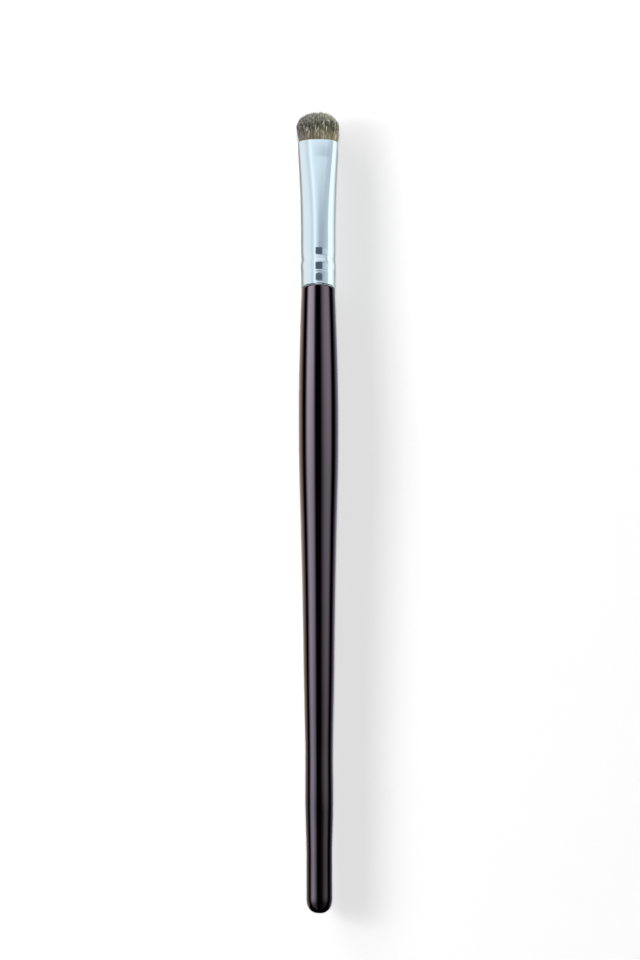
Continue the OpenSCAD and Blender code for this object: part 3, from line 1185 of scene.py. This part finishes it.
@dataclass(frozen=True)
class HairTuft:
    """Tuft of tapered strands that ends in a dome, over a packed bundle in the ferrule."""

    ferrule: PressedFerrule = PressedFerrule()
    mouth: float = 0.16742
    depth: float = 0.0005
    out: float = 0.0076
    half_width: float = 0.00484
    half_thickness: float = 0.00335
    side: float = 0.0037
    opening: float = 0.0044
    shoulder: float = 1.23
    scatter: float = 0.00028
    gap: float = 0.00004
    butt: float = 0.14432
    slope: float = 0.14832
    bundle: float = 0.15132
    butt_radius: float = 0.002555
    inner_count: int = 3000
    inner_shares: tuple[float, float] = (0.0, 0.80)
    outer_count: int = 4600
    outer_shares: tuple[float, float] = (0.78, 1.0)
    strand_radius: float = 0.000062
    strand_sides: int = 3
    strand_inset: float = 0.985
    rings: tuple[float, ...] = (0.0, 0.22, 0.48, 0.74, 0.93)
    taper: tuple[float, ...] = (1.0, 1.0, 0.95, 0.75, 0.42)
    fine_stray: float = 0.00006
    coarse: float = 1.45
    coarse_share: float = 0.08
    coarse_tone: float = 0.35
    coarse_stray: float = 0.00014
    tone: float = 0.3
    tone_swing: float = 0.4
    tone_luck: float = 0.2
    pale_sides: float = 0.12
    uneven_share: float = 0.9
    lock_lift: float = 0.0006
    lock_wander: float = 0.00022
    lock_scale: float = 9.0
    wisp_scale: float = 21.0
    tone_scale: float = 13.0
    core_inset: float = 0.999
    core_shade: float = 0.93
    core_step: float = 0.0008
    core_share: float = 0.86
    core_power: float = 0.7
    core_steps: int = 14
    bundle_steps: int = 24
    steps_round: int = 96
    sharp_above: float = 60.0
    seed: int = 23

    def spread(self, height: float) -> float:
        """Returns how far the hair has opened out at a height."""
        return smooth((height - self.mouth) / self.opening)

    def dome(self, share: float) -> float:
        """Returns the height at which a hair ends, at a share of the way to the rim."""
        rise = max(0.0, 1 - share**2) ** (self.shoulder / 2)
        return self.mouth + mix(self.side, self.out - self.scatter, rise)

    def girth(self, height: float) -> tuple[float, float, float]:
        """Measures the bundle, which fills the ferrule and opens out above its mouth.

        Args:
            height: Height above the tail.

        Returns:
            Half width, half thickness and oval power.
        """
        width, thickness, power = self.ferrule.section(min(height, self.mouth) - self.ferrule.start)
        inset = self.ferrule.wall + self.gap
        u = self.spread(height)
        wide = mix(width - inset, self.half_width, u)
        thick = mix(thickness - inset, self.half_thickness, u)
        return wide, thick, power

    def carried(self, share: float, angle: float, height: float) -> Vector:
        """Carries a place in the bundle up to a height.

        Args:
            share: Share of the way from the middle to the rim.
            angle: Angle round the axis.
            height: Height above the tail.

        Returns:
            The point.
        """
        width, thickness, power = self.girth(height)
        x, y = oval(share * width, share * thickness, power, angle)
        return Vector((x, y, height))

    def sown(self, layer: Layer) -> list[Strand]:
        """Scatters the strands of a layer, in locks and wisps that lean and end together.

        Args:
            layer: Which layer of the tuft.

        Returns:
            The strands.
        """
        outer = layer is Layer.OUTER
        rng = random.Random(self.seed + outer)
        noise.seed_set(self.seed)
        low, high = self.outer_shares if outer else self.inner_shares
        strands = []
        for _ in range(self.outer_count if outer else self.inner_count):
            share = math.sqrt(mix(low**2, high**2, rng.random()))
            angle = rng.uniform(0, math.tau)
            seat = Vector((share * math.cos(angle), share * math.sin(angle), 0))
            lock = noise.noise_vector(seat * self.lock_scale)
            lock = (lock + noise.noise_vector(seat * self.wisp_scale + WISP_SHIFT)) / 2
            shade = noise.noise(seat * self.tone_scale + TONE_SHIFT)
            tone = self.tone + self.tone_swing * shade + rng.gauss(0, self.tone_luck)
            coarse = rng.random() < self.coarse_share
            tone += self.pale_sides * share * abs(math.cos(angle)) + (self.coarse_tone if coarse else 0)
            lift = rng.gauss(0, self.scatter * self.uneven_share) + lock.z * self.lock_lift
            stray = self.coarse_stray if coarse else self.fine_stray
            astray = Vector((rng.gauss(0, stray), rng.gauss(0, stray), 0))
            strands.append(Strand(
                share=share,
                angle=angle,
                tone=limited(tone),
                luck=rng.random(),
                top=min(self.dome(share) + lift, self.mouth + self.out),
                wander=astray + lock.xy.to_3d() * self.lock_wander,
                radius=self.strand_radius * (self.coarse if coarse else 1),
            ))
        return strands

    def many(self, count: int) -> bmesh.types.BMesh:
        """Copies one end of a strand until there are enough for all strands.

        Args:
            count: Number of strands.

        Returns:
            A mesh of that many separate ends.
        """
        bm = bmesh.new()
        bmesh.ops.create_circle(
            bm, cap_ends=True, radius=self.strand_radius, segments=self.strand_sides
        )
        while len(bm.faces) < count:
            bmesh.ops.duplicate(bm, geom=bm.faces[: count - len(bm.faces)])
        return bm

    def build_strands(self, layer: Layer, hair: bpy.types.Material) -> bpy.types.Object:
        """Grows one layer of strands, ring by ring from root to tip.

        Args:
            layer: Which layer of the tuft.
            hair: Finish of the hair.

        Returns:
            The layer of strands.
        """
        strands = self.sown(layer)
        bm = self.many(len(strands))
        ident = bm.faces.layers.int.new("ident")
        colour = bm.loops.layers.float_color.new("strand")
        bm.faces.ensure_lookup_table()
        for number, face in enumerate(bm.faces):
            face[ident] = number
        root = self.mouth - self.depth
        tops = bm.faces[:]
        for level, (along, thin) in enumerate(zip(self.rings, self.taper)):
            if level:
                tops = bmesh.ops.extrude_discrete_faces(bm, faces=tops)["faces"]
            for face in tops:
                strand = strands[face[ident]]
                centre = self.carried(
                    strand.share * self.strand_inset, strand.angle, mix(root, strand.top, along)
                ) + strand.wander * along**2
                for corner, vert in enumerate(face.verts):
                    turn = math.tau * (corner / self.strand_sides + strand.luck)
                    vert.co = centre + Vector((math.cos(turn), math.sin(turn), 0)) * strand.radius * thin
        for tip in bmesh.ops.poke(bm, faces=tops)["verts"]:
            strand = strands[tip.link_faces[0][ident]]
            tip.co = self.carried(strand.share * self.strand_inset, strand.angle, strand.top) + strand.wander
        open_edges = [edge for edge in bm.edges if edge.is_boundary]
        bmesh.ops.holes_fill(bm, edges=open_edges, sides=self.strand_sides)
        bmesh.ops.recalc_face_normals(bm, faces=bm.faces[:])
        for face in bm.faces:
            face.smooth = True
            strand = strands[face[ident]]
            for loop in face.loops:
                height = limited((loop.vert.co.z - root) / (strand.top - root))
                loop[colour] = (strand.tone, height, strand.luck, 1)
        return LIE.place("hair_" + layer.value, bm, hair)

    def build_core(self, core: bpy.types.Material) -> bpy.types.Object:
        """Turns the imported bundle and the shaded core, and presses them to the oval.

        Args:
            core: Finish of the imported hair.

        Returns:
            The core.
        """
        top = self.mouth + self.out * self.core_share
        heights = [self.butt, self.slope]
        heights += [mix(self.bundle, self.mouth, k / self.bundle_steps) for k in range(self.bundle_steps + 1)]
        outline = [(0.0, self.butt), *((1.0, height) for height in heights)]
        outline += [
            (math.cos(a) ** self.core_power, mix(self.mouth + self.core_step, top, math.sin(a)))
            for a in (QUARTER_TURN * k / self.core_steps for k in range(self.core_steps + 1))
        ]
        bm = spun(outline, self.steps_round)
        for vert in bm.verts:
            x, y, height = vert.co
            share, angle = math.hypot(x, y), math.atan2(y, x)
            if height < (self.slope + self.bundle) / 2:
                vert.co.x, vert.co.y = oval(share * self.butt_radius, share * self.butt_radius, 2, angle)
            else:
                inset = self.core_inset if height < self.mouth - self.depth else self.core_shade
                vert.co = self.carried(share * inset, angle, height)
        soften(bm, self.sharp_above)
        return LIE.place("hair_core", bm, core)


# Studio.


class Reach(Enum):
    """What a studio light acts on."""

    LACQUER_GLOSS = "lacquer_gloss"
    PLATE_GLOSS = "plate_gloss"
    HAIR_GLOSS = "hair_gloss"
    HAIR_MATT = "hair_matt"
    MATT = "matt"


class Rig:
    """Keeps what each light acts on: the gloss of some pieces, the hair, or all matt surfaces."""

    def __init__(
        self, lacquered: Sequence[bpy.types.Object], plated: Sequence[bpy.types.Object],
        hairy: Sequence[bpy.types.Object],
    ) -> None:
        """Makes the groups of pieces that have lights of their own.

        Args:
            lacquered: Pieces that mirror the lights of the handle.
            plated: Pieces that mirror the lights of the ferrule.
            hairy: Pieces of hair, with a sheen and a matt light of their own.
        """
        self.groups: dict[Reach, bpy.types.Collection] = {}
        members_of = {
            Reach.LACQUER_GLOSS: lacquered,
            Reach.PLATE_GLOSS: plated,
            Reach.HAIR_GLOSS: hairy,
            Reach.HAIR_MATT: hairy,
        }
        for reach, members in members_of.items():
            group = bpy.data.collections.new(reach.value)
            for member in members:
                group.objects.link(member)
            self.groups[reach] = group

    def hang(self, name: str, light: bpy.types.Light, place: Matrix, reach: Reach) -> bpy.types.Object:
        """Hangs a light in the studio.

        Args:
            name: Name of the light.
            light: The light itself.
            place: Its place and turn.
            reach: What it acts on.

        Returns:
            The light's object.
        """
        piece = bpy.data.objects.new(name, light)
        piece.matrix_world = place
        piece.visible_camera = False
        if reach in (Reach.MATT, Reach.HAIR_MATT):
            piece.visible_glossy = False
        else:
            piece.visible_diffuse = False
        if reach in self.groups:
            piece.light_linking.receiver_collection = self.groups[reach]
        bpy.context.scene.collection.objects.link(piece)
        return piece


@dataclass(frozen=True)
class Softbox:
    """A soft light that runs along the brush.

    The angles are seen from the brush: 0 is straight up, and plus is towards +X. The stops
    give the light's radiance at angles between them, and far_stops the radiance towards its
    far end. The fade gives the share of the light that is left at places along the brush.
    """

    name: str
    reach: Reach
    along: tuple[float, float]
    stops: Stops
    colour: Colour = WHITE
    far_stops: Stops = ()
    far_colour: Colour = WHITE
    far_span: tuple[float, float] = (0.291, 0.455)
    far_power: float = 1.5
    fade: Stops = ((0.0, 1.0),)
    distance: float = 0.7

    def peak(self) -> float:
        """Returns the light's largest radiance."""
        return max(radiance for _, radiance in self.stops + self.far_stops)

    def across_ramp(
        self, nodes: Nodes, across: bpy.types.NodeSocket, stops: Stops, colour: Colour
    ) -> bpy.types.NodeSocket:
        """Adds the ramp of the light across the brush.

        Args:
            nodes: Tool of the light's node tree.
            across: Place across the light, from 0 to 1.
            stops: Angle and radiance of each stop.
            colour: Colour of the light.

        Returns:
            The ramp's output, which is the colour itself where the radiance is at its peak.
        """
        low, high = self.stops[0][0], self.stops[-1][0]
        middle, half = math.radians((low + high) / 2), math.radians((high - low) / 2)
        shares = []
        for angle, radiance in stops:
            share = 0.5 + math.tan(math.radians(angle) - middle) / (2 * math.tan(half))
            shares.append((limited(share), tuple(part * radiance / self.peak() for part in colour)))
        return nodes.ramp(across, *shares)

    def glow(self, nodes: Nodes) -> dict[str, bpy.types.NodeSocket]:
        """Builds the light's colour and strength over its face.

        Args:
            nodes: Tool of the light's node tree.

        Returns:
            The colour and the strength, by the names of the emission's inputs.
        """
        spot = nodes.add(
            "ShaderNodeSeparateXYZ", Vector=nodes.add("ShaderNodeNewGeometry").outputs["Parametric"]
        )
        across, start, length = spot.outputs["X"], self.along[0], self.along[1] - self.along[0]
        colour = self.across_ramp(nodes, across, self.stops, self.colour)
        if self.far_stops:
            near, far = ((y - start) / length for y in self.far_span)
            part = nodes.add("ShaderNodeMapRange", Value=spot.outputs["Y"], From_Min=near, From_Max=far)
            eased = nodes.add(
                "ShaderNodeMath", operation="POWER", _0=part.outputs["Result"], _1=self.far_power
            )
            far_end = self.across_ramp(nodes, across, self.far_stops, self.far_colour)
            colour = nodes.blend(eased.outputs["Value"], colour, far_end)
        most = max(share for _, share in self.fade)
        places = [((y - start) / length, (share / most,) * 3) for y, share in self.fade]
        strength = nodes.add(
            "ShaderNodeMath", operation="MULTIPLY", _0=nodes.ramp(spot.outputs["Y"], *places),
            _1=self.peak() * most,
        )
        return {"Color": colour, "Strength": strength.outputs["Value"]}

    def build(self, rig: Rig) -> bpy.types.Object:
        """Makes the light and aims it at the brush.

        Args:
            rig: Rig that the light hangs in.

        Returns:
            The light's object.
        """
        low, high = self.stops[0][0], self.stops[-1][0]
        middle = math.radians((low + high) / 2)
        width = 2 * self.distance * math.tan(math.radians((high - low) / 2))
        length = self.along[1] - self.along[0]
        light = bpy.data.lights.new(self.name, "AREA")
        light.shape = "RECTANGLE"
        light.size, light.size_y = width, length
        light.energy = width * length * math.pi
        light.use_nodes = True
        emission = light.node_tree.nodes["Emission"]
        for title, socket in self.glow(Nodes(light.node_tree)).items():
            light.node_tree.links.new(socket, emission.inputs[title])
        out = Vector((math.sin(middle), 0, math.cos(middle))) * self.distance
        out += Vector((0, sum(self.along) / 2, LIE.belly_radius))
        place = Matrix.Translation(out) @ Matrix.Rotation(middle, 4, "Y")
        return rig.hang(self.name, light, place, self.reach)


@dataclass(frozen=True)
class Overhead:
    """Even light from straight above."""

    irradiance: float = 4.03
    spread: float = 10.0
    height: float = 1.0

    def build(self, rig: Rig) -> bpy.types.Object:
        """Makes the light, which shines straight down.

        Args:
            rig: Rig that the light hangs in.

        Returns:
            The light's object.
        """
        light = bpy.data.lights.new("overhead", "SUN")
        light.energy = self.irradiance
        light.angle = math.radians(self.spread)
        return rig.hang("overhead", light, Matrix.Translation((0, 0, self.height)), Reach.MATT)


# A dim stretch of the ferrule's lights, which its turned-in edge mirrors as the joint's dark line.
EDGE_SHADE = ((-3.0, 1.0), (-0.46, 1.0), (-0.38, 0.06), (-0.04, 0.06), (-0.01, 1.0))
WHOLE_ROOM = (-3.0, 3.0)
COOL_WHITE = (0.95, 0.975, 1.01)
FAR_WHITE = (0.97, 0.985, 1.01)


@dataclass(frozen=True)
class Studio:
    """Paper, soft lights and the camera above the brush."""

    camera_place: tuple[float, float, float] = (0.00031, -0.0827, 0.4088)
    camera_pitch: float = 12.0
    camera_roll: float = -0.12
    field_of_view: float = 28.0
    sensor: float = 36.0
    clip: tuple[float, float] = (0.01, 20.0)
    floor_half: float = 4.0
    floor_squares: int = 8
    ambient: Colour = (0.95, 0.97, 1.0)
    ambient_strength: float = 0.04
    backdrop: Colour = (0.735, 0.735, 0.735)
    overhead: Overhead = Overhead()
    boxes: tuple[Softbox, ...] = (
        Softbox(
            name="lacquer_left",
            reach=Reach.LACQUER_GLOSS,
            along=WHOLE_ROOM,
            stops=(
                (-86, 0.5), (-83, 1.2), (-75, 3.9), (-64, 5.4), (-54, 5.5),
                (-44, 4.2), (-34, 2.5), (-26, 1.0), (-18, 0.05), (-15, 0.0),
            ),
            colour=(0.87, 0.77, 1.0),
            far_stops=(
                (-86, 0.0), (-82, 0.3), (-76, 2.7), (-69, 7.8), (-61, 9.9), (-53, 9.3),
                (-45, 8.9), (-38, 8.2), (-31, 7.0), (-25, 2.6), (-18, 0.15), (-15, 0.0),
            ),
            far_colour=(0.95, 0.82, 1.0),
            far_span=(-0.065, 0.27),
            far_power=0.95,
            fade=(
                (-3.0, 0.08), (-1.1, 0.1), (-0.6, 0.15), (-0.35, 0.38), (-0.15, 1.0),
                (-0.09, 1.15), (-0.064, 1.0), (1.95, 1.0), (2.3, 0.0),
            ),
        ),
        Softbox(
            name="lacquer_right",
            reach=Reach.LACQUER_GLOSS,
            along=WHOLE_ROOM,
            stops=(
                (13, 0.0), (29, 0.2), (38, 0.6), (48, 1.2), (57, 1.45),
                (67, 1.25), (79, 0.5), (88, 0.03), (91, 0.0),
            ),
            colour=(1.0, 0.90, 0.94),
            far_stops=(
                (13, 0.0), (16, 0.4), (22, 1.1), (29, 2.5), (36, 3.3), (43, 3.9), (50, 4.2),
                (57, 4.4), (65, 4.2), (73, 3.6), (82, 1.2), (88, 0.1), (91, 0.0),
            ),
            far_colour=(1.0, 0.84, 1.03),
            far_span=(-0.065, 0.27),
            far_power=0.75,
            fade=(
                (-3.0, 0.06), (-0.9, 0.1), (-0.35, 0.25), (-0.15, 0.8),
                (-0.09, 1.2), (-0.064, 1.0), (1.95, 1.0), (2.3, 0.0),
            ),
        ),
        Softbox(
            name="lacquer_low_left",
            reach=Reach.LACQUER_GLOSS,
            along=(-0.35, 0.65),
            stops=((-165, 1.3), (-135, 1.6), (-118, 1.5), (-111, 0.7), (-102, 0.08)),
            colour=(1.0, 0.75, 0.69),
            fade=((-0.35, 0.55), (-0.065, 0.58), (0.03, 0.86), (0.1, 1.0)),
        ),
        Softbox(
            name="lacquer_low_right",
            reach=Reach.LACQUER_GLOSS,
            along=(-0.35, 0.65),
            stops=((105, 0.0), (113, 0.15), (124, 0.65), (139, 0.95), (165, 0.8)),
            colour=(0.80, 0.72, 1.0),
            fade=((-0.35, 0.6), (-0.065, 0.64), (0.0, 0.95), (0.1, 1.0)),
        ),
        Softbox(
            name="plate_left",
            reach=Reach.PLATE_GLOSS,
            along=WHOLE_ROOM,
            stops=(
                (-90, 0.93), (-72, 0.92), (-58, 0.90), (-51, 0.84), (-44, 0.78),
                (-37, 0.78), (-30, 0.90), (-24, 1.09), (-20, 1.09), (-18, 1.05),
            ),
            fade=EDGE_SHADE,
        ),
        Softbox(
            name="plate_top",
            reach=Reach.PLATE_GLOSS,
            along=(0.276, 3.0),
            stops=(
                (-18, 1.05), (-14.5, 1.0), (-9, 0.88), (-3, 0.77),
                (3, 0.66), (10, 0.56), (18, 0.51), (29, 0.49),
            ),
            colour=(0.93, 0.965, 1.03),
            far_stops=((-18, 1.02), (-14.5, 1.0), (-8, 0.94), (0, 0.91), (18, 0.89), (29, 0.88)),
            far_colour=FAR_WHITE,
        ),
        Softbox(
            name="plate_side",
            reach=Reach.PLATE_GLOSS,
            along=WHOLE_ROOM,
            stops=((29, 0.49), (34, 0.50), (46, 0.56), (58, 0.62), (71, 0.72)),
            colour=COOL_WHITE,
            far_stops=((29, 0.88), (45, 0.82), (56, 0.68), (62, 0.57), (71, 0.56)),
            far_colour=FAR_WHITE,
            fade=(
                (-3.0, 1.2), (-0.46, 1.2), (-0.38, 0.07), (-0.04, 0.07),
                (-0.01, 1.2), (0.2, 1.2), (0.26, 1.0),
            ),
        ),
        Softbox(
            name="plate_opening",
            reach=Reach.PLATE_GLOSS,
            along=(-0.35, 0.278),
            stops=((-18, 0.17), (0, 0.13), (29, 0.15)),
            colour=(0.7, 0.9, 1.0),
        ),
        Softbox(
            name="plate_behind",
            reach=Reach.PLATE_GLOSS,
            along=(-3.0, -0.35),
            stops=((-18, 1.0), (29, 0.6)),
            colour=COOL_WHITE,
        ),
        Softbox(
            name="plate_right",
            reach=Reach.PLATE_GLOSS,
            along=WHOLE_ROOM,
            stops=((71, 1.10), (78, 1.16), (90, 1.14)),
            fade=EDGE_SHADE,
        ),
        Softbox(
            name="plate_under_left",
            reach=Reach.PLATE_GLOSS,
            along=WHOLE_ROOM,
            stops=((-165, 0.44), (-124, 0.44), (-118, 0.88), (-110, 0.92), (-90, 0.93)),
            colour=(1.07, 0.99, 0.95),
            fade=EDGE_SHADE,
        ),
        Softbox(
            name="plate_under_right",
            reach=Reach.PLATE_GLOSS,
            along=WHOLE_ROOM,
            stops=(
                (90, 1.14), (104, 1.10), (116, 1.04), (126, 0.84),
                (138, 0.62), (150, 0.50), (165, 0.50),
            ),
            colour=(1.07, 1.05, 1.0),
            fade=EDGE_SHADE,
        ),
        Softbox(
            name="key",
            reach=Reach.MATT,
            along=(-0.3, 1.6),
            stops=(
                (-74, 0.0), (-72.2, 4.0), (-70, 10.4), (-67.5, 13.5), (-64.5, 15.2),
                (-60, 10.1), (-55, 5.8), (-50, 2.6), (-47, 0.0),
            ),
            fade=(
                (-0.3, 0.0), (-0.1, 0.57), (0.08, 2.3), (0.2, 0.7),
                (0.5, 0.57), (0.9, 1.15), (1.6, 1.15),
            ),
        ),
        Softbox(
            name="hair_sheen_left",
            reach=Reach.HAIR_GLOSS,
            along=(-0.03, 1.0),
            stops=((-90, 0.93), (-44, 0.78), (-18, 1.05)),
        ),
        Softbox(
            name="hair_sheen_right",
            reach=Reach.HAIR_GLOSS,
            along=(-0.03, 1.0),
            stops=((29, 0.49), (71, 0.72), (78, 1.16), (90, 1.14)),
        ),
        Softbox(
            name="hair_fill",
            reach=Reach.HAIR_MATT,
            along=(-0.2, 0.5),
            stops=((35, 3.0), (60, 12.0), (90, 30.0)),
            colour=(0.97, 1.02, 0.8),
        ),
    )

    def build_floor(self, paper: bpy.types.Material) -> bpy.types.Object:
        """Lays the paper that the brush lies on.

        Args:
            paper: Finish of the paper.

        Returns:
            The paper.
        """
        bm = bmesh.new()
        bmesh.ops.create_grid(
            bm, x_segments=self.floor_squares, y_segments=self.floor_squares, size=self.floor_half
        )
        mesh = bpy.data.meshes.new("paper_sweep")
        bm.to_mesh(mesh)
        bm.free()
        mesh.materials.append(paper)
        piece = bpy.data.objects.new("paper_sweep", mesh)
        piece.visible_glossy = False
        bpy.context.scene.collection.objects.link(piece)
        return piece

    def build_camera(self) -> bpy.types.Object:
        """Sets up the camera, at the place and angle of the photograph.

        Returns:
            The camera.
        """
        data = bpy.data.cameras.new("camera")
        data.sensor_width = self.sensor
        data.lens = self.sensor / 2 / math.tan(math.radians(self.field_of_view / 2))
        data.clip_start, data.clip_end = self.clip
        camera = bpy.data.objects.new("camera", data)
        turn = Matrix.Rotation(math.radians(self.camera_pitch), 4, "X")
        roll = Matrix.Rotation(math.radians(self.camera_roll), 4, "Z")
        camera.matrix_world = Matrix.Translation(self.camera_place) @ turn @ roll
        bpy.context.scene.collection.objects.link(camera)
        bpy.context.scene.camera = camera
        return camera

    def build_world(self) -> None:
        """Makes the room: pale to look at, with a soft light that polished surfaces don't mirror."""
        world = bpy.data.worlds.new("room")
        bpy.context.scene.world = world
        world.use_nodes = True
        nodes = Nodes(world.node_tree)
        seen = nodes.add("ShaderNodeLightPath").outputs["Is Camera Ray"]
        shade = world.node_tree.nodes["Background"]
        for title, socket in {
            "Color": nodes.blend(seen, self.ambient, self.backdrop),
            "Strength": nodes.span(seen, self.ambient_strength, 1.0),
        }.items():
            world.node_tree.links.new(socket, shade.inputs[title])
        world.cycles_visibility.glossy = False

    def build(self, rig: Rig) -> None:
        """Builds the whole studio.

        Args:
            rig: Rig that the lights hang in.
        """
        self.build_floor(PaperSweep().build())
        self.overhead.build(rig)
        for box in self.boxes:
            box.build(rig)
        self.build_camera()
        self.build_world()
        bpy.context.scene.view_settings.view_transform = "Standard"


# The whole brush.


def carry(piece: bpy.types.Object, node: str) -> None:
    """Hands a piece to the frame.

    Args:
        piece: New piece.
        node: CAD node that it stands for.
    """
    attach(piece, "root")
    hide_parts(node)
    log.info("%s: %d faces, stands for %s", piece.name, len(piece.data.polygons), node)


def dress(node: str, finish: bpy.types.Material) -> None:
    """Gives a CAD node its finish.

    Args:
        node: Name of the node.
        finish: Its material.
    """
    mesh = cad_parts[node].data
    mesh.materials.clear()
    mesh.materials.append(finish)
    log.info("%s: dressed in %s", node, finish.name)


def main() -> None:
    """Builds the brush from tail to tip, and the studio round it."""
    logging.basicConfig(level=logging.INFO, format="%(name)s: %(message)s")
    effects = Effects()
    handle = TurnedHandle().build(Lacquer().build(effects), BareWood().build(effects))
    carry(handle, "handle")
    dress("tenon_glue", SetGlue().build(effects))
    ferrule = PressedFerrule().build(PlatedMetal().build(effects))
    carry(ferrule, "ferrule")
    dress("resin_plug", CastResin().build(effects))
    winding = BindingThread().build(TwistedThread().build(effects))
    carry(winding, "binding_thread")
    tuft, hair = HairTuft(), MixedHair().build(effects)
    layers = [
        tuft.build_core(HairCore().build(effects)),
        tuft.build_strands(Layer.INNER, hair),
        tuft.build_strands(Layer.OUTER, hair),
    ]
    for layer in layers:
        carry(layer, "hair_tuft")
    hidden = [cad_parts[name] for name in ("tenon_glue", "resin_plug")]
    Studio().build(Rig([handle], [ferrule, winding, *hidden], layers))


if __name__ == "__main__":
    main()
